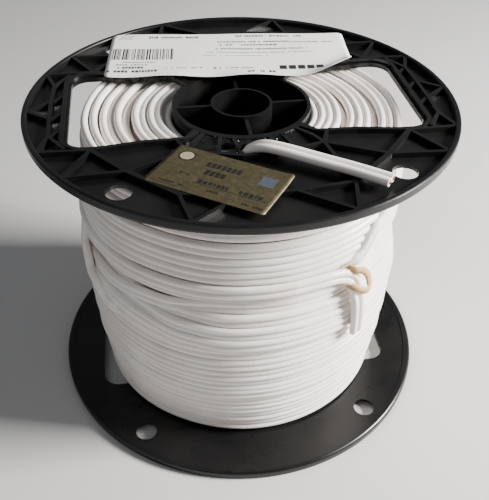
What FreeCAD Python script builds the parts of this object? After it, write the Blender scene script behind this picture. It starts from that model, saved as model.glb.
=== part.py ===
"""Wire spool: two ribbed flanges on a hollow core, wound with flat two-core cord.

Units are millimetres. The frame's origin is the centre of the lower flange's
outer face, +Z runs up the arbor, and the flanges' windows open along +X and -X.
"""
import FreeCAD
import Part
import math
import os

# overall sizes
FLANGE_R = 101.6
SPOOL_H = 157.8
FLANGE_H = 4.8
WEB_BASE = 0.3
WEB_TOP = 1.9

# rim
RIM_T = 2.7
RIM_BEAD_R = 0.9
RIM_EDGE_R = 1.6
RIM_BAND_IN = 97.8

# ribs
RIB_T = 1.7
SPINE_T = 2.4
RIB_TOP = FLANGE_H - 0.5
HUB_RING_T = 1.3
HUB_RING_TOP = 2.3
HUB_SLOPE_OUT = (46.0, RIB_TOP)
HUB_SLOPE_IN = (34.2, HUB_RING_TOP)

# window frames
FRAME_T = 1.9
LEDGE_W = 1.5
LEDGE_TOP = WEB_TOP + 0.7
WINDOW_INNER_FILLET = 5.0
WINDOW_OUTER_FILLET = 10.0

# round holes through the flanges
HOLE_R = 5.4
HOLE_PCR = 89.9
HOLE_ANGLE = 49.4
LACING_HOLE_R = 3.7
LACING_HOLE = (-12.6, -39.4)

# slot for the cord's inner end
SLOT_CENTRE = (-3.9, -43.2)
SLOT_HALF_LENGTH = 4.3
SLOT_HALF_WIDTH = 4.4
SLOT_CORNER = 1.6

# core
BARREL_R = 32.9
BARREL_WALL = 1.8
ARBOR_R = 13.4
ARBOR_WALL = 1.3
CORE_SETBACK = FLANGE_H - HUB_RING_TOP
CORE_WEB_T = 1.8
CORE_WEB_SETBACK = CORE_SETBACK + 0.8

# winding: outside radius at each height, top group of turns proud of the step at 110
WINDING_PROFILE = [
    (4.8, 76.2), (20.0, 78.0), (45.0, 80.6), (60.0, 81.8), (84.0, 81.8), (94.0, 78.6),
    (101.5, 77.4), (110.0, 77.4), (110.4, 80.4), (128.0, 79.6), (153.0, 76.4),
]

# cord: flat two-core section, width by thickness
CORD_W = 7.4
CORD_T = 3.7
CORD_GAP = 0.35
CONDUCTOR_R = 0.75
OUTER_STUB = 1.2
INNER_STUB = 0.4

# tie round the outer end
TIE_R = 1.0

# labels
PAPER_SIZE = (126.0, 53.0, 0.25)
PAPER_CENTRE = (0.7, 49.6)
PAPER_TURN = -5.5
PAPER_CORNER = 3.0
FOIL_SIZE = (53.6, 30.2, 0.15)
FOIL_CENTRE = (-18.5, -66.6)
FOIL_TURN = -34.6
FOIL_CORNER = 1.0

TOP = SPOOL_H
WIND_BOTTOM = FLANGE_H
WIND_TOP = SPOOL_H - FLANGE_H


def vec(x, y, z=0.0):
    """A FreeCAD vector."""
    return FreeCAD.Vector(x, y, z)


def ring(r_in, r_out, z0, z1):
    """A plain tube about the Z axis."""
    outer = Part.makeCylinder(r_out, z1 - z0, vec(0, 0, z0))
    return outer.cut(Part.makeCylinder(r_in, z1 - z0, vec(0, 0, z0)))


def revolve(points):
    """Turn a closed (radius, z) outline once about the Z axis."""
    face = Part.Face(Part.makePolygon([vec(r, 0, z) for r, z in points + points[:1]]))
    return face.revolve(vec(0, 0), vec(0, 0, 1), 360)


def on_circle(radius, degrees):
    """A plan point at a radius and angle."""
    turn = math.radians(degrees)
    return (radius * math.cos(turn), radius * math.sin(turn))


# ---------------------------------------------------------------- flange

WEB_MID = (WEB_BASE + WEB_TOP) / 2
RIM_IN = FLANGE_R - RIM_T
RIM_36 = on_circle(RIM_IN + 0.8, 35.5)
RIM_22 = on_circle(RIM_IN + 0.8, 22.0)
RIM_72 = on_circle(RIM_IN + 0.8, 71.5)
RIM_0 = (RIM_IN + 0.8, 0.0)
NODE_A = (69.8, 38.1)
NODE_B = (55.2, 56.4)
NODE_E = (29.7, 43.8)
NODE_F = (35.4, 75.4)
NODE_G = (10.8, 78.9)
NODE_K = (6.9, 50.4)
OUTER_WALL_TOP = (88.2, 24.4)
OUTER_WALL_MID = (88.8, 8.5)
FRAME_CORNER = (80.9, 35.6)

# plan lines of the ribs in the quadrant x > 0, y > 0, repeated in the other three
RIBS = [
    (NODE_A, RIM_36),
    (NODE_B, RIM_36),
    (NODE_B, NODE_E),
    (NODE_E, NODE_F),
    (NODE_F, RIM_72),
    (NODE_F, NODE_G),
    (NODE_G, RIM_72),
    (NODE_G, (0.0, NODE_G[1])),
    (NODE_E, on_circle(BARREL_R + 1.0, 52.0)),
    (NODE_E, (33.2, 34.2)),
    (NODE_E, NODE_K),
    (NODE_K, (0.0, NODE_K[1])),
    (NODE_K, on_circle(BARREL_R + 1.0, 76.0)),
    (on_circle(BARREL_R + 1.0, 66.0), (16.3, 46.6)),
    (NODE_A, RIM_22),
    (FRAME_CORNER, OUTER_WALL_TOP),
    (OUTER_WALL_TOP, RIM_22),
    (OUTER_WALL_TOP, OUTER_WALL_MID),
    (OUTER_WALL_MID, (OUTER_WALL_MID[0], 0.0)),
    (OUTER_WALL_MID, RIM_0),
]
SPINES = [(NODE_A, NODE_B), (NODE_B, NODE_F)]

# short struts between each window frame and the wall outside it, on both sides
STRUTS = [((82.4, 2.4), (88.3, 8.5)), ((82.4, -14.6), (88.3, -8.5)), ((82.4, 18.3), (88.0, 24.4))]

WINDOW_CORNERS = [(22.0, 21.5), (30.2, 32.6), (47.3, 33.0), (65.3, 35.8), (81.7, 36.2)]
WINDOW_FILLETS = [0.0, WINDOW_INNER_FILLET, 0.0, 0.0, WINDOW_OUTER_FILLET]


def rib(start, end, thickness, top=RIB_TOP):
    """One upright plate between two plan points, standing on the web."""
    along = vec(end[0] - start[0], end[1] - start[1])
    side = vec(-along.y, along.x).normalize() * (thickness / 2)
    a = vec(start[0], start[1], WEB_MID)
    b = vec(end[0], end[1], WEB_MID)
    face = Part.Face(Part.makePolygon([a - side, b - side, b + side, a + side, a - side]))
    return face.extrude(vec(0, 0, top - WEB_MID))


def filleted_outline(corners, radii):
    """A closed wire of straight sides, with an arc at each corner that has a radius."""
    count = len(corners)
    points = [vec(x, y) for x, y in corners]
    starts = []
    ends = []
    mids = []
    for i, corner in enumerate(points):
        before = (points[i - 1] - corner).normalize()
        after = (points[(i + 1) % count] - corner).normalize()
        half = before.getAngle(after) / 2
        reach = radii[i] / math.tan(half)
        starts.append(corner + before * reach)
        ends.append(corner + after * reach)
        middle = (before + after).normalize()
        mids.append(corner + middle * (radii[i] / math.sin(half) - radii[i]))
    edges = []
    for i in range(count):
        if radii[i] > 0:
            edges.append(Part.Arc(starts[i], mids[i], ends[i]).toShape())
        edges.append(Part.LineSegment(ends[i], starts[(i + 1) % count]).toShape())
    return Part.Wire(edges)


def window_face():
    """The window's plan on the +X side: straight sides, rounded corners."""
    corners = WINDOW_CORNERS + [(x, -y) for x, y in reversed(WINDOW_CORNERS)]
    radii = WINDOW_FILLETS + WINDOW_FILLETS[::-1]
    return Part.Face(filleted_outline(corners, radii))


def plan_prism(face, z0, z1):
    """A plan face raised between two heights."""
    lifted = face.copy()
    lifted.translate(vec(0, 0, z0))
    return lifted.extrude(vec(0, 0, z1 - z0))


def four_ways(shape):
    """The shape and its mirror images in X, in Y and in both."""
    across = shape.mirror(vec(0, 0), vec(1, 0))
    return [shape, across, shape.mirror(vec(0, 0), vec(0, 1)), across.mirror(vec(0, 0), vec(0, 1))]


def half_turn(shape):
    """The shape turned by 180 degrees about Z."""
    turned = shape.copy()
    turned.rotate(vec(0, 0), vec(0, 0, 1), 180)
    return turned


def rim_solid():
    """The rim: rounded along its top, and round-edged under a flat band on the wire side."""
    bead = RIM_BEAD_R
    edge = RIM_EDGE_R
    steps = [math.radians(a) for a in (0, 22.5, 45, 67.5, 90)]
    outline = [(RIM_BAND_IN, 0.0), (RIM_BAND_IN, WEB_TOP), (RIM_IN, WEB_TOP), (RIM_IN, FLANGE_H - bead)]
    outline += [
        (RIM_IN + bead - bead * math.cos(a), FLANGE_H - bead + bead * math.sin(a)) for a in steps[1:]
    ]
    outline += [
        (FLANGE_R - bead + bead * math.sin(a), FLANGE_H - bead + bead * math.cos(a)) for a in steps
    ]
    outline += [
        (FLANGE_R - edge + edge * math.cos(a), edge - edge * math.sin(a)) for a in steps
    ]
    return revolve(outline)


def slot_solid():
    """The slot that the cord's inner end comes up through, as a cutter."""
    long = SLOT_HALF_LENGTH
    wide = SLOT_HALF_WIDTH
    corners = [(-long, -wide), (long, -wide), (long, wide), (-long, wide)]
    face = Part.Face(filleted_outline(corners, [SLOT_CORNER] * 4))
    solid = plan_prism(face, -1.0, FLANGE_H)
    solid.rotate(vec(0, 0), vec(0, 0, 1), -34.0)
    solid.translate(vec(*SLOT_CENTRE))
    return solid


def flange():
    """One flange moulding, wire side at z = 0 and ribs standing up."""
    window = window_face()
    frame_outside = window.makeOffset2D(FRAME_T, 2)
    opening = window.makeOffset2D(-LEDGE_W, 2)
    adds = [rim_solid(), ring(BARREL_R, BARREL_R + HUB_RING_T, WEB_MID, HUB_RING_TOP)]
    for start, end in RIBS:
        adds += four_ways(rib(start, end, RIB_T))
    for start, end in SPINES:
        adds += four_ways(rib(start, end, SPINE_T))
    for start, end in STRUTS:
        strut = rib(start, end, RIB_T, RIB_TOP - 0.4)
        adds += [strut, half_turn(strut)]
    frame = plan_prism(frame_outside, WEB_MID, RIB_TOP)
    adds += [frame, half_turn(frame)]
    body = ring(BARREL_R, RIM_BAND_IN + 0.5, WEB_BASE, WEB_TOP).multiFuse(adds)

    cuts = [Part.makeCylinder(BARREL_R, 3 * FLANGE_H, vec(0, 0, -FLANGE_H))]
    slope = revolve([
        (HUB_SLOPE_IN[0], HUB_SLOPE_IN[1]), HUB_SLOPE_OUT,
        (HUB_SLOPE_OUT[0], 2 * FLANGE_H), (BARREL_R - 4, 2 * FLANGE_H), (BARREL_R - 4, HUB_SLOPE_IN[1]),
    ])
    cuts.append(slope)
    for face, base in ((window, LEDGE_TOP), (opening, -1.0)):
        cutter = plan_prism(face, base, FLANGE_H + 1.0)
        cuts += [cutter, half_turn(cutter)]
    hole = Part.makeCylinder(HOLE_R, 3 * FLANGE_H, vec(*on_circle(HOLE_PCR, HOLE_ANGLE), -FLANGE_H))
    cuts += four_ways(hole)
    lacing = Part.makeCylinder(LACING_HOLE_R, 3 * FLANGE_H, vec(*LACING_HOLE, -FLANGE_H))
    slot = slot_solid()
    cuts += [lacing, half_turn(lacing), slot, half_turn(slot)]
    for cutter in cuts:
        body = body.cut(cutter)
    body = body.removeSplitter()
    return body


# ---------------------------------------------------------------- core

def core_barrel():
    """The tube that the cord is wound on."""
    return ring(BARREL_R - BARREL_WALL, BARREL_R, CORE_SETBACK, TOP - CORE_SETBACK)


def arbor_tube():
    """The tube that turns on the reel stand's shaft."""
    return ring(ARBOR_R, ARBOR_R + ARBOR_WALL, CORE_SETBACK, TOP - CORE_SETBACK)


def core_webs():
    """Four upright webs that join the arbor tube to the barrel."""
    height = TOP - 2 * CORE_WEB_SETBACK
    reach = BARREL_R - BARREL_WALL
    hollow = ring(ARBOR_R + ARBOR_WALL, reach, CORE_WEB_SETBACK, TOP - CORE_WEB_SETBACK)
    plate = Part.makeBox(reach + 1, CORE_WEB_T, height, vec(0, -CORE_WEB_T / 2, CORE_WEB_SETBACK))
    webs = []
    for turn in (0, 90, 180, 270):
        web = plate.copy()
        web.rotate(vec(0, 0), vec(0, 0, 1), turn)
        webs += web.common(hollow).Solids
    return Part.makeCompound(webs)


# ---------------------------------------------------------------- cord

def winding():
    """The wound cord as one body, turned from its profile."""
    outside = [(radius, z) for z, radius in WINDING_PROFILE]
    return revolve([(BARREL_R, WIND_BOTTOM)] + outside + [(BARREL_R, WIND_TOP)])


def winding_r(z):
    """The winding's outside radius at a height."""
    for (z0, r0), (z1, r1) in zip(WINDING_PROFILE, WINDING_PROFILE[1:]):
        if z <= z1:
            return r0 + (r1 - r0) * (z - z0) / (z1 - z0)
    return WINDING_PROFILE[-1][1]


def on_winding(degrees, z, out):
    """A point at an angle and height, out from the winding's surface."""
    x, y = on_circle(winding_r(z) + out, degrees)
    return vec(x, y, z)


def route_wire(points, name):
    """Straight runs joined by tangent arcs, each as large as its two runs allow."""
    edges = []
    cursor = points[0]
    radii = []
    for i in range(1, len(points) - 1):
        before = points[i - 1] - points[i]
        after = points[i + 1] - points[i]
        shorter = min(before.Length, after.Length)
        half_turn_angle = (math.pi - before.getAngle(after)) / 2
        reach = 0.45 * shorter
        radii.append(reach / math.tan(half_turn_angle))
        before.normalize()
        after.normalize()
        start = points[i] + before * reach
        end = points[i] + after * reach
        inward = (before + after).normalize()
        middle = points[i] + inward * (radii[-1] / math.cos(half_turn_angle) - radii[-1])
        edges.append(Part.LineSegment(cursor, start).toShape())
        edges.append(Part.Arc(start, middle, end).toShape())
        cursor = end
    edges.append(Part.LineSegment(cursor, points[-1]).toShape())
    wire = Part.Wire(edges)
    print(name, "length", round(wire.Length, 1), "radii", [round(r, 1) for r in radii])
    return wire


def sweep(wire, profile, area, name):
    """Sweep a closed profile along a route, and compare volume with area times length."""
    shell = Part.BRepOffsetAPI.MakePipeShell(wire)
    shell.setFrenetMode(False)
    shell.add(profile, False, False)
    shell.build()
    shell.makeSolid()
    solid = Part.Solid(shell.shape())
    if solid.Volume < 0:
        solid.reverse()
    print(name, "volume", round(solid.Volume, 1), "area x length", round(area * wire.Length, 1))
    return solid


def flat_profile(at, along, flat):
    """The cord's section: two half rounds and flats, its flat side facing the direction given."""
    along = vec(along.x, along.y, along.z).normalize()
    wide = along.cross(flat).normalize()
    thick = wide.cross(along).normalize()
    r = CORD_T / 2
    half = CORD_W / 2 - r
    p = [at + wide * (sx * half) + thick * (sy * r) for sx, sy in ((-1, 1), (1, 1), (1, -1), (-1, -1))]
    right = at + wide * (CORD_W / 2)
    left = at - wide * (CORD_W / 2)
    edges = [
        Part.LineSegment(p[0], p[1]).toShape(),
        Part.Arc(p[1], right, p[2]).toShape(),
        Part.LineSegment(p[2], p[3]).toShape(),
        Part.Arc(p[3], left, p[0]).toShape(),
    ]
    return Part.Wire(edges)


def flat_cord(points, flat, name):
    """A stretch of flat cord along a route."""
    area = (CORD_W - CORD_T) * CORD_T + math.pi * CORD_T * CORD_T / 4
    wire = route_wire(points, name)
    profile = flat_profile(points[0], points[1] - points[0], flat)
    return sweep(wire, profile, area, name)


# the inner end: up through the slot, then out over the upper flange's ribs
INNER_ROUTE = [
    vec(-4.6, -42.9, TOP - 4.8),
    vec(-4.0, -43.3, TOP - 2.6),
    vec(1.9, -46.9, TOP + 1.6),
    vec(10.3, -52.3, TOP + 2.0),
    vec(24.5, -62.0, TOP + 1.5),
    vec(37.8, -71.1, TOP + 1.4),
    vec(48.3, -79.9, TOP + 1.4),
]
OUT = CORD_T / 2 + CORD_GAP
OUTER_ROUTE = [
    on_winding(-81.0, 105.6, OUT + 0.3),
    on_winding(-70.5, 105.2, OUT + 0.3),
    on_winding(-63.0, 103.6, OUT + 0.3),
    on_winding(-58.6, 99.8, OUT + 1.0),
    on_winding(-57.8, 92.5, OUT + 1.5),
    on_winding(-57.2, 83.0, OUT + 0.8),
    on_winding(-56.6, 66.8, OUT + 0.3),
]
TIE_ROUTE = [
    on_winding(-63.5, 111.2, TIE_R),
    on_winding(-60.5, 108.4, 5.8),
    on_winding(-56.5, 105.5, 6.2),
    on_winding(-53.2, 99.0, 6.0),
    on_winding(-51.6, 92.0, 5.0),
    on_winding(-53.0, 87.8, 6.6),
    on_winding(-57.6, 91.0, 8.2),
    on_winding(-61.9, 95.6, 5.6),
    on_winding(-64.6, 96.8, TIE_R),
]


def inner_cord_end():
    """The inner end of the cord, cut flat where it leaves the winding's top face."""
    solid = flat_cord([INNER_ROUTE[0] - vec(0.9, -0.6, 3.3)] + INNER_ROUTE[1:], vec(0, 0, 1), "inner end")
    above = Part.makeBox(200, 200, 40, vec(-100, -100, WIND_TOP))
    return solid.common(above).Solids[0]


def outer_cord_end():
    """The outer end: off the last turn, folded down and left hanging."""
    return flat_cord(OUTER_ROUTE, vec(*on_circle(1.0, -80.0)), "outer end")


def conductor_stubs(route, flat, length):
    """Two bare conductor ends standing out of the cord's cut face."""
    along = (route[-1] - route[-2]).normalize()
    wide = along.cross(flat).normalize()
    offset = CORD_W / 2 - CORD_T / 2
    stubs = [
        Part.makeCylinder(CONDUCTOR_R, length, route[-1] + wide * (side * offset), along)
        for side in (-1, 1)
    ]
    return Part.makeCompound(stubs)


def tail_tie():
    """The tie looped round the fold, its two ends lying on the winding."""
    wire = route_wire(TIE_ROUTE, "tie")
    along = (TIE_ROUTE[1] - TIE_ROUTE[0]).normalize()
    circle = Part.Wire(Part.makeCircle(TIE_R, TIE_ROUTE[0], along))
    return sweep(wire, circle, math.pi * TIE_R * TIE_R, "tie")


# ---------------------------------------------------------------- labels

def label(size, centre, turn, corner, z):
    """A thin plate with rounded corners, lying flat."""
    x = size[0] / 2
    y = size[1] / 2
    face = Part.Face(filleted_outline([(-x, -y), (x, -y), (x, y), (-x, y)], [corner] * 4))
    plate = plan_prism(face, 0.0, size[2])
    plate.rotate(vec(0, 0), vec(0, 0, 1), turn)
    plate.translate(vec(centre[0], centre[1], z))
    return plate


def build():
    """Every node of the spool, by name."""
    moulding = flange()
    upper = moulding.copy()
    upper.translate(vec(0, 0, TOP - FLANGE_H))
    lower = moulding.copy()
    lower.rotate(vec(0, 0), vec(1, 0), 180)
    lower.translate(vec(0, 0, FLANGE_H))
    tail_flat = vec(*on_circle(1.0, -56.8))
    return {
        "upper_flange": upper,
        "lower_flange": lower,
        "core_barrel": core_barrel(),
        "arbor_tube": arbor_tube(),
        "core_webs": core_webs(),
        "cord_winding": winding(),
        "inner_cord_end": inner_cord_end(),
        "outer_cord_end": outer_cord_end(),
        "inner_conductors": conductor_stubs(INNER_ROUTE, vec(0, 0, 1), INNER_STUB),
        "outer_conductors": conductor_stubs(OUTER_ROUTE, tail_flat, OUTER_STUB),
        "tail_tie": tail_tie(),
        "paper_label": label(PAPER_SIZE, PAPER_CENTRE, PAPER_TURN, PAPER_CORNER, TOP),
        "foil_label": label(FOIL_SIZE, FOIL_CENTRE, FOIL_TURN, FOIL_CORNER, TOP - FLANGE_H + RIB_TOP),
    }


os.makedirs("parts", exist_ok=True)
for node, shape in build().items():
    box = shape.BoundBox
    print(node, "valid", shape.isValid(), "solids", len(shape.Solids), "volume", round(shape.Volume, 1),
          "z", round(box.ZMin, 2), round(box.ZMax, 2))
    shape.exportStep("parts/" + node + ".step")
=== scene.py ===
"""Wire spool: a black ribbed spool full of white flat two-core cord.

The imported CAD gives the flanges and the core. This script adds the cord's turns, its two free
ends, the tie, the two labels and the studio. Metres, in the CAD's frame: the spool stands on
z = 0 about the Z axis, and its flanges' windows open towards +X and -X.
"""
import math
import random

import bmesh
import bpy
from mathutils import Matrix, Vector, noise


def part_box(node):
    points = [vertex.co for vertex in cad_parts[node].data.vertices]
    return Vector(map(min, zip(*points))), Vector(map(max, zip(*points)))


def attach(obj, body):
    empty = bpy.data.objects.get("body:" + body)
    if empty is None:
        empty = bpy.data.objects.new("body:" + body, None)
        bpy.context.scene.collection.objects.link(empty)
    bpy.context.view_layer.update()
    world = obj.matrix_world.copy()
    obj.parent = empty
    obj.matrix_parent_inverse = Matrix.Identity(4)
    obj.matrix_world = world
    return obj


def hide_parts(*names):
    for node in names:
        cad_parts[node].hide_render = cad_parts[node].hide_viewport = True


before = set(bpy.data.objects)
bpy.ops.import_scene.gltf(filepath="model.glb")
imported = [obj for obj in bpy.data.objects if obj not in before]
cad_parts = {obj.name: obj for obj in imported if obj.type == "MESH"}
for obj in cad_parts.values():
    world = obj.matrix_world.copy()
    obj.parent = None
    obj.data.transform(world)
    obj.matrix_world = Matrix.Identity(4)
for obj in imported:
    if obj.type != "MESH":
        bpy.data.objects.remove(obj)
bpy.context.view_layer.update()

MM = 0.001
RIM_LOW, RIM_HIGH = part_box("upper_flange")
WIND_LOW, WIND_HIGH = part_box("cord_winding")
BARREL_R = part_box("core_barrel")[1].x
FLANGE_R = RIM_HIGH.x
TOP = RIM_HIGH.z
WIND_TOP = WIND_HIGH.z
WIND_BOTTOM = WIND_LOW.z
WEB_FACE = RIM_LOW.z

CORD_W = 7.4 * MM
CORD_T = 3.7 * MM
LOBE_R = CORD_T / 2
WEB_SHARE = 0.36
LOBE_REACH = 136
CRISP_END = 0.1 * MM


# ---------------------------------------------------------------- small helpers

def mesh_object(name, verts, faces, material, smooth=True):
    """A mesh piece that rides on the spool."""
    mesh = bpy.data.meshes.new(name)
    mesh.from_pydata([tuple(v) for v in verts], [], faces)
    mesh.update()
    work = bmesh.new()
    work.from_mesh(mesh)
    bmesh.ops.recalc_face_normals(work, faces=work.faces)
    work.to_mesh(mesh)
    work.free()
    for polygon in mesh.polygons:
        polygon.use_smooth = smooth and len(polygon.vertices) < 5
    mesh.materials.append(material)
    piece = bpy.data.objects.new(name, mesh)
    bpy.context.scene.collection.objects.link(piece)
    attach(piece, "root")
    return piece


def polar(radius, degrees, z):
    """A point at a radius, angle and height."""
    turn = math.radians(degrees)
    return Vector((radius * math.cos(turn), radius * math.sin(turn), z))


def smooth_step(value):
    """0 to 1 with flat ends."""
    value = min(1.0, max(0.0, value))
    return value * value * (3 - 2 * value)


# the winding's outside: height above the floor and radius in mm, as in the CAD
PROFILE = [
    (4.8, 76.2), (20.0, 78.0), (45.0, 80.6), (60.0, 81.8), (84.0, 81.8), (94.0, 78.6),
    (101.5, 77.4), (110.0, 77.4), (110.4, 80.4), (128.0, 79.6), (153.0, 76.4),
]


def stepped(table, value):
    """Straight-line reading of a table of (value, result, ...) rows, smoothed within each span."""
    if value <= table[0][0]:
        return table[0][1:]
    for low, high in zip(table, table[1:]):
        if value <= high[0]:
            part = smooth_step((value - low[0]) / (high[0] - low[0]))
            return tuple(a + (b - a) * part for a, b in zip(low[1:], high[1:]))
    return table[-1][1:]


def winding_r(z):
    """The winding's outside radius at a height, straight between the profile's rows."""
    z = z / MM
    for (z0, r0), (z1, r1) in zip(PROFILE, PROFILE[1:]):
        if z <= z1:
            return (r0 + (r1 - r0) * (max(z, z0) - z0) / (z1 - z0)) * MM
    return PROFILE[-1][1] * MM


# ---------------------------------------------------------------- materials

def new_material(name):
    """A node material, with its node tree and its shader."""
    material = bpy.data.materials.new(name)
    material.use_nodes = True
    tree = material.node_tree
    return material, tree, tree.nodes["Principled BSDF"]


def object_coordinates(tree):
    """The texture coordinates that every material here uses, in metres on the piece."""
    return tree.nodes.new("ShaderNodeTexCoord").outputs["Object"]


def noise_texture(tree, vector, scale, detail=4.0, roughness=0.6):
    """A noise texture's factor."""
    node = tree.nodes.new("ShaderNodeTexNoise")
    node.inputs["Scale"].default_value = scale
    node.inputs["Detail"].default_value = detail
    node.inputs["Roughness"].default_value = roughness
    tree.links.new(vector, node.inputs["Vector"])
    return node.outputs["Fac"]


def ramp(tree, factor, stops):
    """A colour ramp: (position, colour) stops, colours of three numbers."""
    node = tree.nodes.new("ShaderNodeValToRGB")
    elements = node.color_ramp.elements
    while len(elements) < len(stops):
        elements.new(0.5)
    for element, (position, colour) in zip(elements, stops):
        element.position = position
        element.color = (*colour, 1.0)
    tree.links.new(factor, node.inputs["Fac"])
    return node.outputs["Color"]


def grey(value):
    """A grey colour."""
    return (value, value, value)


def bump(tree, shader, height, strength, distance):
    """Bump from a height factor."""
    node = tree.nodes.new("ShaderNodeBump")
    node.inputs["Strength"].default_value = strength
    node.inputs["Distance"].default_value = distance
    tree.links.new(height, node.inputs["Height"])
    tree.links.new(node.outputs["Normal"], shader.inputs["Normal"])


def plastic_material():
    """Black moulded polystyrene: satin, with faint dust and flow marks."""
    material, tree, shader = new_material("black_plastic")
    vector = object_coordinates(tree)
    broad = noise_texture(tree, vector, 28.0)
    fine = noise_texture(tree, vector, 900.0, 5.0, 0.7)
    colour = ramp(tree, broad, [(0.3, (0.0035, 0.0035, 0.004)), (0.75, (0.009, 0.0088, 0.0085))])
    tree.links.new(colour, shader.inputs["Base Color"])
    rough = ramp(tree, broad, [(0.35, grey(0.24)), (0.7, grey(0.36))])
    tree.links.new(rough, shader.inputs["Roughness"])
    shader.inputs["Specular IOR Level"].default_value = 0.32
    bump(tree, shader, fine, 0.03, 0.0001)
    return material


def cord_material(name="white_jacket", shade=(1.0, 1.0, 1.0)):
    """Soft white PVC: warm white, a little translucent, with faint handling marks."""
    material, tree, shader = new_material(name)
    vector = object_coordinates(tree)
    broad = noise_texture(tree, vector, 40.0, 3.0)
    fine = noise_texture(tree, vector, 1400.0, 3.0)
    low = tuple(c * k for c, k in zip((0.80, 0.735, 0.69), shade))
    high = tuple(c * k for c, k in zip((0.90, 0.865, 0.83), shade))
    colour = ramp(tree, broad, [(0.3, low), (0.7, high)])
    tree.links.new(colour, shader.inputs["Base Color"])
    rough = ramp(tree, fine, [(0.3, grey(0.24)), (0.7, grey(0.36))])
    tree.links.new(rough, shader.inputs["Roughness"])
    shader.inputs["Subsurface Weight"].default_value = 0.05
    shader.inputs["Subsurface Radius"].default_value = (0.0025, 0.0014, 0.0009)
    shader.inputs["Subsurface Scale"].default_value = 1.0
    bump(tree, shader, fine, 0.06, 0.0001)
    return material


def paper_material():
    """Coated white label paper."""
    material, tree, shader = new_material("label_paper")
    vector = object_coordinates(tree)
    broad = noise_texture(tree, vector, 55.0)
    fibres = noise_texture(tree, vector, 1800.0)
    colour = ramp(tree, broad, [(0.25, (0.80, 0.80, 0.79)), (0.75, (0.90, 0.90, 0.89))])
    tree.links.new(colour, shader.inputs["Base Color"])
    rough = ramp(tree, fibres, [(0.3, grey(0.4)), (0.7, grey(0.55))])
    tree.links.new(rough, shader.inputs["Roughness"])
    bump(tree, shader, fibres, 0.1, 0.00005)
    return material


def ink_material(name, colour, spread=1.6):
    """Printed ink, slightly uneven."""
    material, tree, shader = new_material(name)
    vector = object_coordinates(tree)
    uneven = noise_texture(tree, vector, 1200.0)
    light = tuple(min(1.0, c * spread + 0.002) for c in colour)
    tree.links.new(ramp(tree, uneven, [(0.35, colour), (0.8, light)]), shader.inputs["Base Color"])
    rough = ramp(tree, uneven, [(0.3, grey(0.45)), (0.7, grey(0.6))])
    tree.links.new(rough, shader.inputs["Roughness"])
    return material


def foil_material():
    """Dull gold foil with darker tarnished patches and small creases."""
    material, tree, shader = new_material("gold_foil")
    vector = object_coordinates(tree)
    patches = noise_texture(tree, vector, 260.0, 8.0, 0.8)
    specks = noise_texture(tree, vector, 700.0, 4.0, 0.7)
    colour = ramp(tree, patches, [(0.3, (0.07, 0.060, 0.032)), (0.52, (0.115, 0.098, 0.055)),
                                  (0.75, (0.17, 0.145, 0.085))])
    tree.links.new(colour, shader.inputs["Base Color"])
    rough = ramp(tree, specks, [(0.3, grey(0.35)), (0.7, grey(0.6))])
    tree.links.new(rough, shader.inputs["Roughness"])
    shader.inputs["Metallic"].default_value = 0.75
    bump(tree, shader, specks, 0.25, 0.0002)
    return material


def tie_material():
    """Tan tape, ribbed across by its twisted core."""
    material, tree, shader = new_material("tan_tie")
    vector = object_coordinates(tree)
    fibres = noise_texture(tree, vector, 900.0, 5.0)
    colour = ramp(tree, fibres, [(0.3, (0.36, 0.20, 0.07)), (0.7, (0.62, 0.39, 0.17))])
    tree.links.new(colour, shader.inputs["Base Color"])
    rough = ramp(tree, fibres, [(0.3, grey(0.45)), (0.7, grey(0.7))])
    tree.links.new(rough, shader.inputs["Roughness"])
    bump(tree, shader, fibres, 0.4, 0.0003)
    return material


def copper_material():
    """Cut copper strands."""
    material, tree, shader = new_material("cut_copper")
    vector = object_coordinates(tree)
    strands = noise_texture(tree, vector, 2600.0, 3.0)
    colour = ramp(tree, strands, [(0.3, (0.22, 0.05, 0.025)), (0.7, (0.72, 0.30, 0.16))])
    tree.links.new(colour, shader.inputs["Base Color"])
    rough = ramp(tree, strands, [(0.3, grey(0.25)), (0.7, grey(0.45))])
    tree.links.new(rough, shader.inputs["Roughness"])
    shader.inputs["Metallic"].default_value = 1.0
    bump(tree, shader, strands, 0.5, 0.0002)
    return material


def floor_material():
    """A plain pale floor with the faintest mottle."""
    material, tree, shader = new_material("studio_floor")
    vector = object_coordinates(tree)
    mottle = noise_texture(tree, vector, 3.0)
    colour = ramp(tree, mottle, [(0.3, (0.50, 0.50, 0.505)), (0.7, (0.54, 0.54, 0.54))])
    tree.links.new(colour, shader.inputs["Base Color"])
    shader.inputs["Roughness"].default_value = 0.75
    return material


BLACK = plastic_material()
JACKET = cord_material()
# a darker, browner copy of the white jacket: painted shade for turns that lie deep between and under
# the others
PAINTED_SHADE_JACKET = cord_material("painted_shade_jacket", (0.40, 0.31, 0.25))
COPPER = copper_material()
TAN = tie_material()
PAPER = paper_material()
FOIL = foil_material()
INK = ink_material("black_ink", (0.012, 0.012, 0.014))
GREY_INK = ink_material("grey_ink", (0.07, 0.07, 0.075))
FOIL_INK = ink_material("foil_ink", (0.004, 0.0035, 0.003), 1.2)
FOIL_PATCH = ink_material("foil_patch", (0.035, 0.042, 0.055))
FOIL_DISC = ink_material("foil_disc", (0.24, 0.21, 0.14), 1.2)


def dress_cad():
    """The moulded spool keeps its CAD meshes and takes the plastic."""
    for node in ("upper_flange", "lower_flange", "core_barrel", "arbor_tube", "core_webs"):
        for material_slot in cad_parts[node].material_slots:
            material_slot.material = BLACK


# ---------------------------------------------------------------- cord sections

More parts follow.
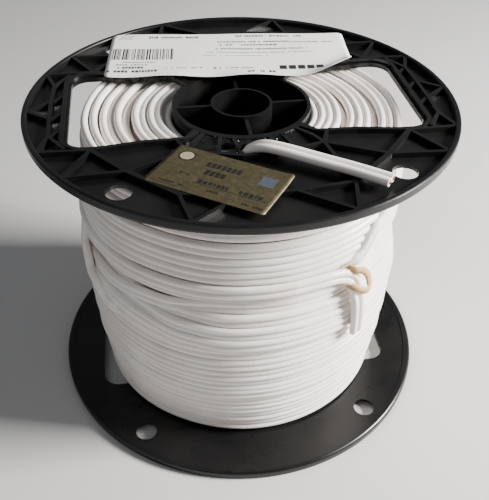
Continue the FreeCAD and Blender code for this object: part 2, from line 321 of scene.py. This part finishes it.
def twin_section(count):
    """The cord's outline, across and through: two round lobes and the thin web between them.

    count is the points on each lobe. Its arc goes LOBE_REACH degrees round either way, and the
    web is WEB_SHARE of a lobe's thickness.
    """
    outline = []
    for side, middle in ((1, 0), (-1, 180)):
        for i in range(count):
            turn = math.radians(middle - LOBE_REACH + 2 * LOBE_REACH * i / (count - 1))
            outline.append((side * LOBE_R + LOBE_R * math.cos(turn), LOBE_R * math.sin(turn)))
        outline.append((0.0, side * LOBE_R * WEB_SHARE))
    return outline


def round_section(radius, count):
    """A circle."""
    turns = [2 * math.pi * i / count for i in range(count)]
    return [(radius * math.cos(t), radius * math.sin(t)) for t in turns]


def beside(frame_at, frame_next):
    """A frame just short of another, so that a cut end shades crisply."""
    place, across, through = frame_at
    return place + (frame_next[0] - place).normalized() * CRISP_END, across, through


def sweep(frames, section, closed=False):
    """Vertices and faces of a section carried along frames of (place, across, through)."""
    if not closed:
        after_first = beside(frames[0], frames[1])
        before_last = beside(frames[-1], frames[-2])
        frames = [frames[0], after_first, *frames[1:-1], before_last, frames[-1]]
    verts = []
    faces = []
    count = len(section)
    for place, across, through in frames:
        verts += [place + across * u + through * v for u, v in section]
    rings = len(frames)
    for i in range(rings if closed else rings - 1):
        a = i * count
        b = ((i + 1) % rings) * count
        for j in range(count):
            k = (j + 1) % count
            faces.append((a + j, a + k, b + k, b + j))
    if not closed:
        faces.append(tuple(range(count - 1, -1, -1)))
        faces.append(tuple(range((rings - 1) * count, rings * count)))
    return verts, faces


def joined(parts):
    """Several (verts, faces) lists as one."""
    verts = []
    faces = []
    for part_verts, part_faces in parts:
        base = len(verts)
        verts += part_verts
        faces += [tuple(base + i for i in face) for face in part_faces]
    return verts, faces


def path_frames(points, flats):
    """Frames along a path; flats gives the direction the cord's flat side faces at each point."""
    frames = []
    last = len(points) - 1
    for i, place in enumerate(points):
        along = (points[min(last, i + 1)] - points[max(0, i - 1)]).normalized()
        across = along.cross(flats[i]).normalized()
        frames.append((place, across, across.cross(along).normalized()))
    return frames


# ---------------------------------------------------------------- the winding

# the turns that show, top to bottom: middle height, and how far each stands in or out, in mm.
# The first run ends as the cord's free outer end; the second lies under and below it.
TOP_RUN = [
    (148.9, -0.9), (141.9, -0.5), (134.9, -0.4), (127.3, -0.3), (119.9, -0.3), (112.9, -0.2),
    (105.6, 4.34),
]
LOW_RUN = [
    (105.6, 0.0), (98.9, -0.5), (93.6, -0.7), (87.2, -0.6), (80.2, -0.3), (73.8, 0.7), (67.0, -1.0),
    (59.9, -0.4), (52.3, -0.2), (44.8, -0.7), (38.2, 0.1), (31.2, -0.8), (24.0, -0.4), (16.8, -0.8),
    (9.4, -0.6),
]

# where some lower turns, by their place in LOW_RUN, leave their lines: angle, rise and lift in mm
DRIFT = {
    1: [(-200, 0, 0), (-152, -2.2, 0), (-130, -0.6, 0), (-110, 0, 0)],
    2: [
        (-200, 0, 0), (-165, -5.5, 0.8), (-150, -5.3, 0.9), (-128, -2.6, 0.6), (-105, 0.2, 0),
        (-85, 0, 0),
    ],
    3: [(-200, 0, 0), (-165, 2.0, -2.5), (-145, 2.5, -2.0), (-120, 1.0, -0.8), (-100, 0, 0)],
    4: [
        (-200, 0, 0), (-165, 6.5, -2.2), (-150, 6.0, -1.8), (-134, 4.5, -1.0), (-118, 1.8, 0),
        (-100, 0, 0),
    ],
    5: [
        (-205, 0, 0), (-165, 8.5, -0.4), (-153, 7.6, -0.3), (-134, 5.6, 0), (-118, 2.2, 0),
        (-100, 0, 0),
    ],
}

# stray lengths over the turns: angle, height and radius in mm
SLACK = [
    (-63, 103.5, 75.8), (-57, 109.5, 79.7), (-48, 122, 80.2), (-38, 133, 79.2), (-28, 141, 75.4),
]
LOOSE = [
    (-182, 113, 76.0), (-173, 106, 79.5), (-166, 92, 82.4), (-160, 82, 83.0), (-150, 73, 81.6),
    (-140, 69, 77),
]
EXTRA = [
    (-230, 70, 77), (-200, 71.5, 79), (-165, 75.5, 80.3), (-145, 74.5, 80), (-120, 71.5, 79),
    (-100, 69.5, 76.4),
]

# turns against each flange: radius, tilt in degrees and depth in mm, towards +X and towards -X
END_TURNS = [
    ((34.8, 0, 1.0), (35.2, 0, 3.0)),
    ((38.4, 0, 0.5), (38.6, 0, 4.2)),
    ((43.7, 88, 0.2), (41.6, 86, 0.2)),
    ((48.9, 0, 3.3), (48.8, 80, 0.4)),
    ((54.0, 85, 0.2), (55.0, 10, 3.0)),
    ((59.4, 4, 0.6), (59.0, 0, 0.6)),
    ((63.0, 0, 3.0), (62.4, 0, 2.0)),
    ((66.6, 0, 0.4), (65.9, -5, 0.8)),
    ((70.4, 3, 0.8), (70.2, 0, 0.0)),
]
END_TURN_STEPS = 110

# a second set of turns under those: how many, the first one's radius, their spacing and depth in mm
UNDER_COUNT = 10
UNDER_FIRST_R = 36.6
UNDER_SPACING = 3.72
UNDER_DEPTH = 5.0

# every run starts behind the spool, and steps down to its next turn over one stretch there
FIRST_ANGLE = 95
STEP_ANGLE = 395
STEP_SPAN = 60
HELIX_STEP = 2.4
STRAY_STEP = 1.5
TOP_RUN_LAST = FIRST_ANGLE + 6 * 360 + 184.35
TOP_RUN_CALM = 40
LOW_RUN_LAST = FIRST_ANGLE + 360 * len(LOW_RUN)

# how far a turn wanders up or down, in or out and in tilt, and the gap left to each flange in mm
WANDER_HEIGHT = 0.55 * MM
WANDER_RADIUS = 0.5 * MM
WANDER_TILT = 9.0
END_WANDER_HEIGHT = 0.5 * MM
END_WANDER_RADIUS = 0.3 * MM
END_GAP = 0.25

# the body beneath: its distance from the flanges and from the turns that show, and its sides
BODY_END_GAP = 9 * MM
BODY_INSET = 4.2 * MM
BODY_ROWS = 24
BODY_SIDES = 96


def stray(turn, degrees, size, seed):
    """A small smooth wander of one turn, nearly shared with its neighbours."""
    a = math.radians(degrees)
    shared = noise.noise(Vector((1.6 * math.cos(a), 1.6 * math.sin(a), seed + turn * 0.23)))
    own = noise.noise(Vector((2.4 * math.cos(a), 2.4 * math.sin(a), seed + 40 + turn * 7.1)))
    return size * (1.1 * shared + 0.5 * own)


def turn_frame(radius, degrees, z, tilt):
    """A frame on a turn: across runs up the spool, through points outwards, tilted in degrees."""
    a = math.radians(degrees)
    out = Vector((math.cos(a), math.sin(a), 0))
    up = Vector((0, 0, 1))
    lean = math.radians(tilt)
    across = up * math.cos(lean) + out * math.sin(lean)
    through = out * math.cos(lean) - up * math.sin(lean)
    return polar(radius, degrees, z), across, through


def helix(section, places, last, drift, seed, fade):
    """One run of turns that steps down behind the spool.

    last is the angle where it ends, counted on from FIRST_ANGLE, and fade the angle over which
    its wander dies away before that, or 0.
    """
    frames = []
    steps = int((last - FIRST_ANGLE) / HELIX_STEP)
    for i in range(steps + 1):
        degrees = FIRST_ANGLE + (last - FIRST_ANGLE) * i / steps
        turn = min(int((degrees - FIRST_ANGLE) // 360), len(places) - 1)
        within = degrees - 360 * turn
        z, lift = places[turn]
        next_z, next_lift = places[min(turn + 1, len(places) - 1)]
        part = smooth_step((within - STEP_ANGLE) / STEP_SPAN)
        mine = turn + part
        calm = smooth_step((last - degrees) / fade) if fade else 1.0
        rise, out = stepped(drift[turn], within - 360) if turn in drift else (0.0, 0.0)
        height = (z + (next_z - z) * part + rise) * MM
        height += calm * stray(mine, degrees, WANDER_HEIGHT, seed)
        radius = winding_r(height) - LOBE_R + (lift + (next_lift - lift) * part + out) * MM
        radius += calm * stray(mine, degrees, WANDER_RADIUS, seed + 8)
        tilt = calm * stray(mine, degrees, WANDER_TILT, seed + 20)
        frames.append(turn_frame(radius, degrees, height, tilt))
    return sweep(frames, section)


def length_over(section, table):
    """One stray length that dives under its neighbours at both ends."""
    frames = []
    first, last = table[0][0], table[-1][0]
    steps = int((last - first) / STRAY_STEP)
    for i in range(steps + 1):
        degrees = first + (last - first) * i / steps
        z, radius = stepped(table, degrees)
        ahead = stepped(table, degrees + 1.0)
        slope = math.atan2((ahead[0] - z) * MM, radius * MM * math.radians(1.0))
        a = math.radians(degrees)
        out = Vector((math.cos(a), math.sin(a), 0))
        round_about = Vector((-math.sin(a), math.cos(a), 0))
        across = Vector((0, 0, 1)) * math.cos(slope) - round_about * math.sin(slope)
        frames.append((polar(radius * MM, degrees, z * MM), across, out))
    return sweep(frames, section)


def end_turn(section, right, left, seed):
    """One closed turn against the upper flange, going by its right and left rows in END_TURNS."""
    frames = []
    for i in range(END_TURN_STEPS):
        degrees = 360 * i / END_TURN_STEPS
        share = smooth_step((math.cos(math.radians(degrees)) + 0.6) / 1.2)
        radius, tilt, depth = (b + (a - b) * share for a, b in zip(right, left))
        lean = math.radians(tilt)
        half = abs(CORD_W / 2 * math.cos(lean)) + abs(LOBE_R * math.sin(lean))
        height = WIND_TOP - (END_GAP + depth) * MM - half
        height -= abs(stray(seed, degrees, END_WANDER_HEIGHT, 51.0))
        place_r = radius * MM + stray(seed, degrees, END_WANDER_RADIUS, 61.0)
        frames.append(turn_frame(place_r, degrees, height, tilt))
    return sweep(frames, section, closed=True)


def upside_down(part):
    """The same turns against the lower flange."""
    verts, faces = part
    return [Vector((v.x, -v.y, WIND_TOP + WIND_BOTTOM - v.z)) for v in verts], faces


def winding_body():
    """The turns underneath, as one body a little inside the turns that show."""
    low = WIND_BOTTOM + BODY_END_GAP
    high = WIND_TOP - BODY_END_GAP
    outline = [(BARREL_R + 0.3 * MM, high), (BARREL_R + 0.3 * MM, low)]
    for i in range(BODY_ROWS + 1):
        z = low + (high - low) * i / BODY_ROWS
        outline.append((winding_r(z) - BODY_INSET, z))
    verts = []
    faces = []
    count = len(outline)
    for i in range(BODY_SIDES):
        verts += [polar(r, 360 * i / BODY_SIDES, z) for r, z in outline]
        for j in range(count):
            k = (j + 1) % count
            m = (i + 1) % BODY_SIDES
            faces.append((i * count + j, i * count + k, m * count + k, m * count + j))
    return verts, faces


def winding_piece(name, parts, material):
    """One piece of the wound cord."""
    piece = mesh_object(name, *joined(parts), material)
    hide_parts("cord_winding")


def build_winding():
    """All of the wound cord that can be seen, and the body under it."""
    section = twin_section(11)
    upper = helix(section, TOP_RUN, TOP_RUN_LAST, {}, 3.0, TOP_RUN_CALM)
    lower = helix(section, LOW_RUN, LOW_RUN_LAST, DRIFT, 103.0, 0)
    winding_piece("upper_turns", [upper], JACKET)
    winding_piece("lower_turns", [lower], JACKET)
    winding_piece("stray_lengths", [length_over(section, t) for t in (SLACK, LOOSE, EXTRA)], JACKET)
    ends = [end_turn(section, right, left, i) for i, (right, left) in enumerate(END_TURNS)]
    under = []
    for i in range(UNDER_COUNT):
        row = (UNDER_FIRST_R + UNDER_SPACING * i, 0, UNDER_DEPTH + 0.7 * (i % 2))
        under.append(end_turn(section, row, row, 30 + i))
    winding_piece("upper_end_turns", ends, JACKET)
    winding_piece("lower_end_turns", [upside_down(part) for part in ends], JACKET)
    # the second set of end turns and the body beneath take the painted-shade jacket, standing for
    # their shade
    winding_piece("second_end_turns", under + [upside_down(part) for part in under], PAINTED_SHADE_JACKET)
    winding_piece("turns_beneath", [winding_body()], PAINTED_SHADE_JACKET)


# ---------------------------------------------------------------- free ends

# the inner end, up through the upper flange's slot and out over its ribs: x, y and z in mm
INNER_ROUTE = [
    (-4.6, -42.9, TOP / MM - 4.8),
    (-4.0, -43.3, TOP / MM - 2.6),
    (1.9, -46.9, TOP / MM + 1.6),
    (10.3, -52.3, TOP / MM + 2.0),
    (24.5, -62.0, TOP / MM + 1.5),
    (37.8, -71.1, TOP / MM + 1.4),
    (48.3, -79.9, TOP / MM + 1.4),
]


def on_winding(degrees, z, out):
    """A point in mm at an angle and height, out from the winding's surface."""
    radius = winding_r(z * MM) / MM + out
    return tuple(polar(radius, degrees, z))


# the outer end, on from the last upper turn and folded down: how far its middle stands out in mm
TAIL_OUT = 2.2
OUTER_ROUTE = [
    on_winding(-81.0, 105.6, TAIL_OUT + 0.3),
    on_winding(-70.5, 105.2, TAIL_OUT + 0.3),
    on_winding(-63.0, 103.6, TAIL_OUT + 0.3),
    on_winding(-58.6, 99.8, TAIL_OUT + 1.0),
    on_winding(-57.8, 92.5, TAIL_OUT + 1.5),
    on_winding(-57.2, 83.0, TAIL_OUT + 0.8),
    on_winding(-56.6, 66.8, TAIL_OUT + 0.3),
]

# the tie, round that fold
TIE_ROUTE = [
    on_winding(-60.8, 106.4, 1.5),
    on_winding(-60.2, 106.0, 5.2),
    on_winding(-57.2, 105.2, 6.2),
    on_winding(-54.2, 100.8, 6.2),
    on_winding(-52.8, 95.4, 5.6),
    on_winding(-53.4, 91.8, 6.2),
    on_winding(-56.4, 93.4, 7.4),
    on_winding(-60.0, 97.0, 6.4),
    on_winding(-61.2, 98.2, 3.0),
]


def spline_points(name, route):
    """Points along a smooth NURBS spline that takes the route as its control points."""
    curve = bpy.data.curves.new(name, "CURVE")
    curve.dimensions = "3D"
    curve.resolution_u = 16
    spline = curve.splines.new("NURBS")
    spline.points.add(len(route) - 1)
    for point, place in zip(spline.points, route):
        point.co = (*(c * MM for c in place), 1.0)
    spline.order_u = 3
    spline.use_endpoint_u = True
    holder = bpy.data.objects.new(name, curve)
    mesh = bpy.data.meshes.new_from_object(holder)
    points = [v.co.copy() for v in mesh.vertices]
    bpy.data.meshes.remove(mesh)
    bpy.data.objects.remove(holder)
    bpy.data.curves.remove(curve)
    return points


# the cut strands of one conductor: rings of (radius in mm, count), one strand's radius, and how
# deep each is rooted in the jacket
STRAND_RINGS = ((0.0, 1), (0.36, 6), (0.68, 11))
STRAND_R = 0.16 * MM
STRAND_ROOT = 0.6 * MM


def conductor(name, frames, node, stand):
    """The two bundles of cut strands in the cord's end face, standing about that many mm out."""
    place, across, through = frames[-1]
    along = (frames[-1][0] - frames[-2][0]).normalized()
    parts = []
    for side in (-1, 1):
        middle = place + across * (side * (CORD_W / 2 - LOBE_R))
        for ring, count in STRAND_RINGS:
            for i in range(count):
                turn = 2 * math.pi * i / count + ring
                start = middle + across * (ring * MM * math.cos(turn))
                start += through * (ring * MM * math.sin(turn))
                reach = stand * (0.8 + 0.25 * math.sin(7 * turn + 3 * side)) * MM
                run = [
                    (start - along * STRAND_ROOT, across, through),
                    (start + along * reach, across, through),
                ]
                parts.append(sweep(run, round_section(STRAND_R, 6)))
    piece = mesh_object(name, *joined(parts), COPPER)
    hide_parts(node)
    return piece


def free_end(name, route, flat_at, node, conductors_node, stand):
    """One free end of the cord: a flat tube along its route, with its cut conductors.

    flat_at gives the way that the cord's flat side faces at a point, and stand is how far the
    cut strands come out of the end in mm.
    """
    points = spline_points(name, route)
    frames = path_frames(points, [flat_at(p) for p in points])
    piece = mesh_object(name, *sweep(frames, twin_section(15)), JACKET)
    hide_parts(node)
    copper = conductor(name + "_strands", frames, conductors_node, stand)


TIE_HALF_WIDTH = 1.7 * MM
TIE_HALF_THICK = 0.25 * MM


def build_tie():
    """A tan tape tie looped round the fold of the outer end."""
    points = spline_points("tie", TIE_ROUTE)
    frames = path_frames(points, [Vector((p.x, p.y, 0)).normalized() for p in points])
    half = TIE_HALF_WIDTH
    thick = TIE_HALF_THICK
    crown = thick * 1.6
    section = [(-half, -thick), (0, -crown), (half, -thick), (half, thick), (0, crown), (-half, thick)]
    piece = mesh_object("tan_tie", *sweep(frames, section), TAN)
    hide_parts("tail_tie")


# ---------------------------------------------------------------- labels

# print: its height over the sheet and the step it follows the sheet by, both in mm, and the share
# of a line's pitch that a stroke takes
PRINT_ABOVE = 0.05
PRINT_STEP = 2.0
STROKE_SHARE = 0.72


class Sheet:
    """A label: a sheet in plan, its own surface height, and the prints on it."""

    def __init__(self, size, centre, turn, corner, base, thick, lift):
        self.half = (size[0] / 2, size[1] / 2)
        self.centre = centre
        self.turn = math.radians(turn)
        self.corner = corner
        self.base = base
        self.thick = thick
        self.lift = lift

    def place(self, u, v, above):
        """A point over the sheet, from its middle, in metres."""
        rise, pull = self.lift(u, v)
        u -= pull
        v += pull
        x = self.centre[0] + u * math.cos(self.turn) - v * math.sin(self.turn)
        y = self.centre[1] + u * math.sin(self.turn) + v * math.cos(self.turn)
        return Vector((x * MM, y * MM, self.base + (rise + above) * MM))

    def mesh(self, columns=60, rows=28):
        """The sheet itself, with its two faces and its edge."""
        width, height = self.half
        verts = []
        faces = []
        for above in (self.thick, 0.0):
            for j in range(rows + 1):
                v = -height + 2 * height * smooth_edge(j / rows)
                inside = max(0.0, abs(v) - (height - self.corner))
                reach = width - self.corner + math.sqrt(max(0.0, self.corner ** 2 - inside ** 2))
                for i in range(columns + 1):
                    verts.append(self.place(-reach + 2 * reach * i / columns, v, above))
        count = columns + 1
        under = count * (rows + 1)
        for j in range(rows):
            for i in range(columns):
                a = j * count + i
                faces.append((a, a + 1, a + count + 1, a + count))
                faces.append((under + a, under + a + count, under + a + count + 1, under + a + 1))
        rim = list(range(count)) + [j * count + columns for j in range(1, rows + 1)]
        rim += [rows * count + i for i in range(columns - 1, -1, -1)]
        rim += [j * count for j in range(rows - 1, 0, -1)]
        for a, b in zip(rim, rim[1:] + rim[:1]):
            faces.append((a, b, under + b, under + a))
        return verts, faces

    def bar(self, u0, u1, v0, v1):
        """One printed bar, following the sheet."""
        steps = max(1, int(abs(u1 - u0) / PRINT_STEP))
        rows = max(1, int(abs(v1 - v0) / PRINT_STEP))
        verts = []
        faces = []
        for j in range(rows + 1):
            for i in range(steps + 1):
                u = u0 + (u1 - u0) * i / steps
                v = v0 + (v1 - v0) * j / rows
                verts.append(self.place(u, v, self.thick + PRINT_ABOVE))
        for j in range(rows):
            for i in range(steps):
                a = j * (steps + 1) + i
                faces.append((a, a + 1, a + steps + 2, a + steps + 1))
        return verts, faces

    def strokes(self, u0, u1, v, height, pitch):
        """A line of print as plain upright strokes and gaps, in place of words."""
        parts = []
        u = u0
        while u < u1:
            wide = pitch * random.uniform(0.5, 1.3) * STROKE_SHARE
            if random.random() < 0.86:
                low = v - height / 2 * random.uniform(0.7, 1.0)
                high = v + height / 2 * random.uniform(0.6, 1.0)
                parts.append(self.bar(u, min(u + wide, u1), low, high))
            u += wide + pitch * (1 - STROKE_SHARE)
        return parts


def smooth_edge(value):
    """Rows packed closer together towards both edges."""
    return 0.5 - 0.5 * math.cos(math.pi * value)


def printed(name, parts, material):
    """Prints joined into one piece."""
    piece = mesh_object(name, *joined(parts), material, smooth=False)


# the labels as in the CAD: size in plan, place as (middle, turn in degrees, corner radius) and
# thickness, in mm
PAPER_SIZE = (126.0, 53.0)
PAPER_PLACE = ((0.7, 49.6), -5.5, 3.0)
PAPER_THICK = 0.25
FOIL_SIZE = (53.6, 30.2)
FOIL_PLACE = ((-18.5, -66.6), -34.6, 1.0)
FOIL_THICK = 0.15

# how high the paper's corner curls, in mm, and how far the ribs' tops lie below the rim
PAPER_CURL = 7.6
RIB_DROP = 0.5 * MM


def paper_lift(u, v):
    """The paper sags a little between the ribs, and its near right corner curls up."""
    sag = -0.25 - 0.2 * math.sin(u / 9.0) * math.cos(v / 11.0)
    towards = ((u - PAPER_SIZE[0] / 2) * 0.72 - (v + PAPER_SIZE[1] / 2) * 0.70) / 24.0 + 1.0
    curl = smooth_step(towards)
    towards = max(0.0, towards)
    edge = max(0.0, -(v + 16.0)) / 10.5
    ripple = 0.5 * edge * (1 + math.sin(u / 6.5))
    return sag * (1 - curl) + PAPER_CURL * curl * towards + ripple, 3.0 * curl * towards


def foil_lift(u, v):
    """The foil label lies flat, its far right corner a little lifted."""
    corner = max(0.0, (u - 20.0) / 6.8) * max(0.0, (v - 8.0) / 7.1)
    return 0.5 * corner, 0.0


def barcode_like(sheet, u0, u1, v0, v1):
    """A field of upright bars of random widths, standing for no code."""
    parts = []
    u = u0
    while u < u1:
        wide = random.choice((0.25, 0.35, 0.5, 0.8))
        parts.append(sheet.bar(u, u + wide, v0, v1))
        u += wide + random.choice((0.3, 0.45, 0.6, 0.9))
    return parts


def build_paper_label():
    """The big white label across the back, with plain bars for its print.

    The print is placed in mm from the label's middle.
    """
    sheet = Sheet(PAPER_SIZE, *PAPER_PLACE, TOP, PAPER_THICK, paper_lift)
    piece = mesh_object("paper_sheet", *sheet.mesh(), PAPER)
    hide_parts("paper_label")
    dark = barcode_like(sheet, -61.0, -29.5, -6.0, 7.5)
    dark += sheet.strokes(-43.0, -16.0, 22.0, 2.6, 1.6)
    dark += sheet.strokes(-62.0, -37.0, -20.0, 3.0, 1.7)
    dark += sheet.strokes(-57.0, -44.0, -15.5, 2.6, 1.5)
    dark += sheet.strokes(8.5, 23.0, -22.4, 2.8, 1.7)
    dark += sheet.strokes(-8.5, -5.0, -17.0, 3.0, 1.2)
    dark += sheet.strokes(-5.0, 26.0, 11.5, 1.8, 1.9)
    dark += [sheet.bar(u, u + 3.7, -19.2, -14.6) for u in (25.0, 29.7, 34.4, 39.1, 43.8)]
    printed("paper_print", dark, INK)
    small = []
    lines = (
        (-61, -51, 23.6, 1.3), (-61, -52, 20.9, 1.3), (-55, -38, -9.0, 1.2), (-58, -42, -12.2, 1.4),
        (4, 40, 23.0, 2.4), (-6, 34, 15.6, 2.0), (34, 56, 14.8, 1.6), (-7, 42, 6.4, 2.0),
        (-12, 44, 1.8, 1.0), (-14, 22, -2.0, 0.8), (-33, -14, -16.5, 1.2), (-2, 12, -17.0, 1.4),
    )
    for u0, u1, v, height in lines:
        small += sheet.strokes(u0, u1, v, height, 1.5)
    printed("paper_small_print", small, GREY_INK)


def disc(sheet, u, v, radius, above):
    """A printed round spot."""
    sides = 28
    turns = [2 * math.pi * i / sides for i in range(sides)]
    ring = [
        sheet.place(u + radius * math.cos(t), v + radius * math.sin(t), sheet.thick + above)
        for t in turns
    ]
    return ring, [tuple(range(sides))]


def build_foil_label():
    """The brassy label by the hub, with plain bars, a disc and a patch for its print.

    The print is placed in mm from the label's middle.
    """
    sheet = Sheet(FOIL_SIZE, *FOIL_PLACE, TOP - RIB_DROP, FOIL_THICK, foil_lift)
    piece = mesh_object("foil_sheet", *sheet.mesh(30, 18), FOIL)
    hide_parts("foil_label")
    bars = [disc(sheet, -19.6, 8.6, 3.7, 0.04)]
    bars += [sheet.bar(u, u + 1.7, 5.2, 8.4) for u in (-9.0, -6.7, -4.4, -2.1, 0.2, 2.5, 4.8)]
    bars += [sheet.bar(u, u + 1.8, -0.6, 2.8) for u in (-7.0, -4.6, -2.2, 0.2)]
    bars += sheet.strokes(-6.5, 22.0, -5.8, 2.6, 2.1)
    bars += sheet.strokes(-16.0, -12.0, -3.6, 2.2, 1.4)
    bars += sheet.strokes(-21.0, -10.0, -11.4, 1.2, 1.2)
    bars += sheet.strokes(0.0, 5.0, -10.4, 1.4, 1.2)
    bars += sheet.strokes(16.0, 25.0, -12.2, 1.3, 1.2)
    bars += [sheet.bar(-8.0, 24.0, -7.7, -7.45), sheet.bar(-24.0, -12.0, -13.1, -12.9)]
    printed("foil_print", bars, FOIL_INK)
    patch = [sheet.bar(15.6, 22.2, 2.2, 9.0)]
    printed("foil_print_patch", patch, FOIL_PATCH)
    printed("foil_print_disc", [disc(sheet, -19.6, 8.6, 3.0, 0.08)], FOIL_DISC)


CRUMB_COUNT = 90


def build_crumbs():
    """Moulding flash and crumbs caught round the hub and between the ribs."""
    parts = []
    for _ in range(CRUMB_COUNT):
        near_hub = random.random() < 0.6
        radius = random.uniform(34.4, 37.5) if near_hub else random.uniform(37, 44)
        degrees = random.uniform(-126, -58)
        size = random.uniform(0.3, 0.85) * MM
        place = polar(radius * MM, degrees, WEB_FACE + 2.3 * MM)
        verts = [
            place + Vector([random.uniform(-size, size) for _ in range(3)]) for _ in range(4)
        ]
        parts.append((verts, [(0, 1, 2), (0, 3, 1), (1, 3, 2), (2, 3, 0)]))
    printed("moulding_crumbs", parts, BLACK)


# ---------------------------------------------------------------- studio

def build_floor():
    """A plain pale floor."""
    size = 3.0
    verts = [(-size, -size, 0), (size, -size, 0), (size, size, 0), (-size, size, 0)]
    mesh = bpy.data.meshes.new("floor")
    mesh.from_pydata(verts, [], [(0, 1, 2, 3)])
    mesh.materials.append(floor_material())
    floor = bpy.data.objects.new("floor", mesh)
    bpy.context.scene.collection.objects.link(floor)


def area_light(name, place, target, width, depth, watts, colour):
    """A soft box light aimed at a point."""
    data = bpy.data.lights.new(name, "AREA")
    data.shape = "RECTANGLE"
    data.size = width
    data.size_y = depth
    data.energy = watts
    data.color = colour
    lamp = bpy.data.objects.new(name, data)
    lamp.location = place
    lamp.rotation_euler = (Vector(target) - Vector(place)).to_track_quat("-Z", "Y").to_euler()
    bpy.context.scene.collection.objects.link(lamp)


def build_lights():
    """One large soft key from the right, a weak fill, and an even world."""
    middle = (0, 0, 0.09)
    area_light("key", (0.88, -0.20, 0.55), middle, 0.3, 0.3, 50.0, (1.0, 0.97, 0.93))
    area_light("fill", (-0.7, -0.6, 0.9), middle, 0.8, 0.8, 1.5, (0.95, 0.97, 1.0))
    world = bpy.data.worlds.new("studio")
    world.use_nodes = True
    background = world.node_tree.nodes["Background"]
    background.inputs["Color"].default_value = (0.95, 0.97, 1.0, 1.0)
    background.inputs["Strength"].default_value = 0.19
    bpy.context.scene.world = world


def build_camera():
    """A camera at the photograph's angle: in front of the spool, looking down at it.

    Its distance and height go by the flange's radius, and its angles are in radians.
    """
    turn = math.radians(-8.4)
    distance = 3.0772 * FLANGE_R
    height = 3.1173 * FLANGE_R
    pitch = 0.6775
    yaw = 0.0035
    roll = 0.0121
    spin = Matrix.Rotation(turn, 3, "Z")
    level_part = math.cos(pitch)
    ahead = Vector((math.sin(yaw) * level_part, math.cos(yaw) * level_part, -math.sin(pitch)))
    ahead = spin @ ahead
    right = spin @ Vector((math.cos(yaw), -math.sin(yaw), 0))
    up = right.cross(ahead)
    level = right * math.cos(roll) + up * math.sin(roll)
    above = up * math.cos(roll) - right * math.sin(roll)
    data = bpy.data.cameras.new("camera")
    data.sensor_width = 36.0
    data.lens = 52.32
    data.shift_x = 0.0050
    data.shift_y = 0.0003
    data.clip_start = 0.01
    camera = bpy.data.objects.new("camera", data)
    place = spin @ Vector((0, -distance, height))
    rotation = Matrix((level, above, -ahead)).transposed().to_4x4()
    camera.matrix_world = Matrix.Translation(place) @ rotation
    bpy.context.scene.collection.objects.link(camera)
    bpy.context.scene.camera = camera


random.seed(7)
dress_cad()
build_winding()
free_end("inner_cord", INNER_ROUTE, lambda p: Vector((0, 0, 1)),
         "inner_cord_end", "inner_conductors", 0.35)
free_end("outer_cord", OUTER_ROUTE, lambda p: Vector((p.x, p.y, 0)).normalized(),
         "outer_cord_end", "outer_conductors", 1.0)
build_tie()
build_paper_label()
build_foil_label()
build_crumbs()
build_floor()
build_lights()
build_camera()
